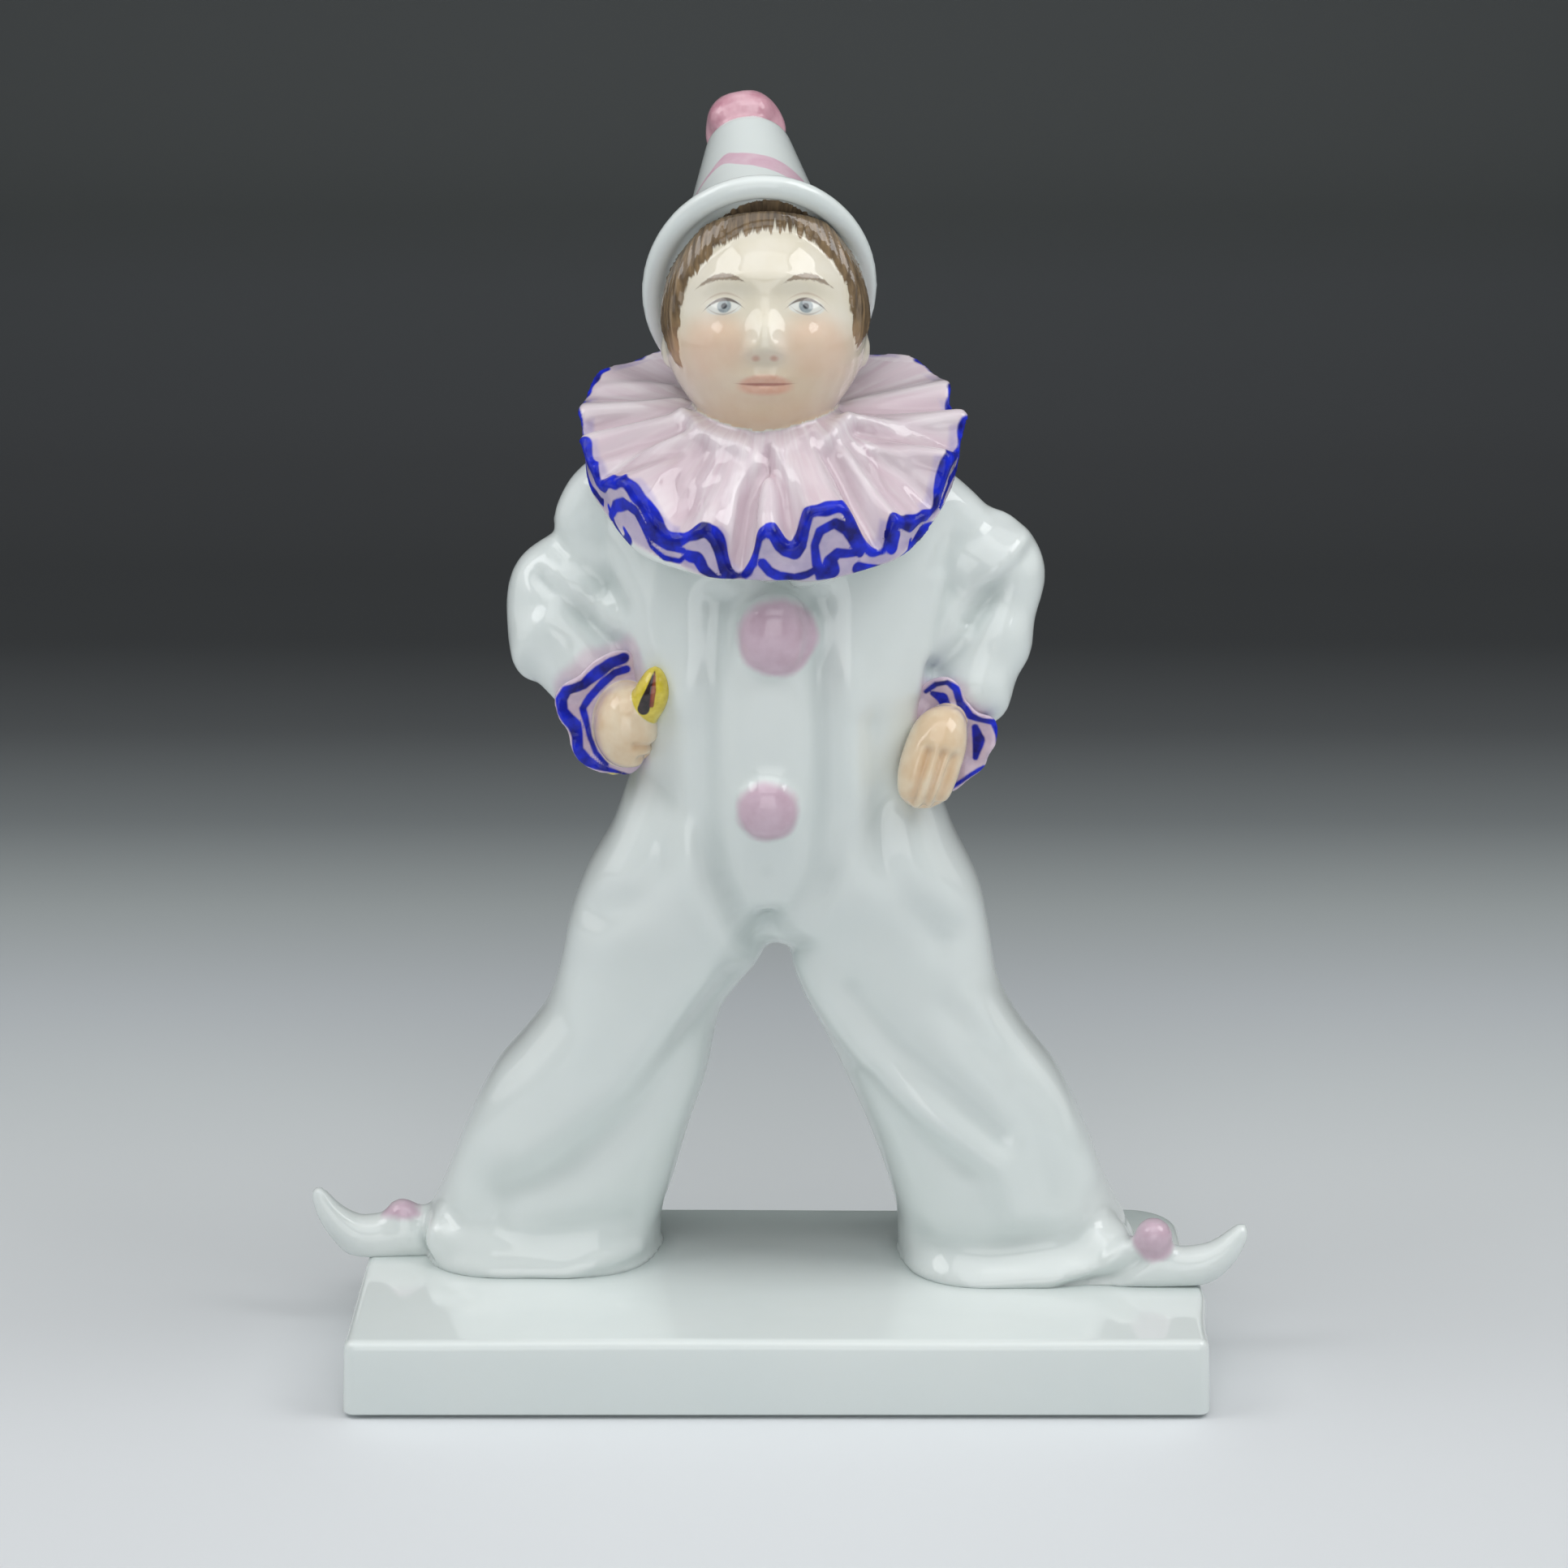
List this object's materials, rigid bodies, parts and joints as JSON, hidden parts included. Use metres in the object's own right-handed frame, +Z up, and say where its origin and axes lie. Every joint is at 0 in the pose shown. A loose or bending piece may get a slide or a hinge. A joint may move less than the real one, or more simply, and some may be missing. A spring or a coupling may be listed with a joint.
{
  "type": "porcelain clown figurine",
  "caption": "Glazed porcelain figurine of a boy clown in a pleated ruff, cone hat and wide suit, legs apart, hands on hips, cast in one with a rectangular plinth.",
  "frame": {"origin": "centre of the plinth's flat underside", "axes": "+Z up, -Y the way the face and the belly look, +X towards the viewer's right"},
  "size_m": [0.1658, 0.0804, 0.219],
  "materials": {
    "glazed_porcelain": "high-gloss clear glaze over white porcelain, with pale pink, cobalt blue, flesh and brown painting under or in the glaze"
  },
  "bodies": {
    "root": {"clown_figurine": "glazed_porcelain"}
  },
  "joints": []
}
